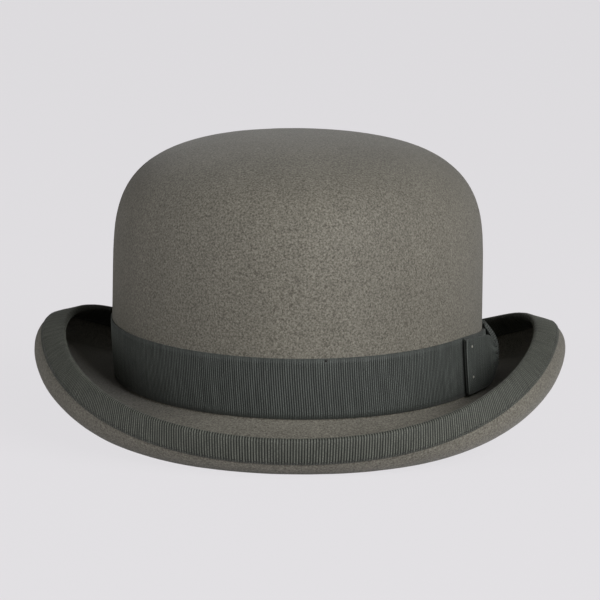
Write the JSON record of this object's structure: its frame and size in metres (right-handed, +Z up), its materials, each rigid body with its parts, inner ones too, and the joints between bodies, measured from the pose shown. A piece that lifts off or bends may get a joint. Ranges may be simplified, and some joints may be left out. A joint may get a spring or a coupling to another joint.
{
  "type": "bowler hat",
  "caption": "Bowler hat with a rounded stiff felt crown, rolled brim with ribbon binding, ribbed hat band with a side bow, leather sweatband and satin lining",
  "frame": {"origin": "Centre of the hat's box in plan, at the level surface that the front and back of the brim rest on.", "axes": "+Z up through the crown, -Y the way the wearer faces, +X the wearer's left, where the bow is. The brim's length runs along Y and its width along X."},
  "size_m": [0.2394, 0.3036, 0.1294],
  "materials": {
    "felt": "dense wool felt with a short brushed nap, stiffened, matt",
    "binding_ribbon": "ribbed grosgrain ribbon, soft sheen",
    "band_ribbon": "ribbed grosgrain ribbon, soft sheen",
    "dark_thread": "sewing thread",
    "light_thread": "sewing thread",
    "tape": "woven cotton tape, matt",
    "reed": "extruded plastic reed",
    "leather": "smooth tanned leather, low gloss",
    "paper": null,
    "satin": "satin weave, strong sheen",
    "bow_ribbon": "narrow satin ribbon",
    "clear_film": "clear plastic film"
  },
  "bodies": {
    "root": {"felt_body": "felt", "brim_binding": "binding_ribbon", "binding_stitches": "dark_thread", "hat_band": "band_ribbon", "band_tacks": "dark_thread", "bow_underlay": "band_ribbon", "bow_front_loop": "band_ribbon", "bow_rear_loop": "band_ribbon", "bow_keeper": "band_ribbon", "bow_tacks": "light_thread", "reed_tape": "tape", "sweatband_reed": "reed", "sweatband": "leather", "sweatband_stitches": "light_thread", "sweatband_seam_tape": "tape", "size_ticket": "paper", "lining_side": "satin", "sweatband_bow": "bow_ribbon", "lining_tip": "satin", "tip_shield": "clear_film"}
  },
  "joints": []
}
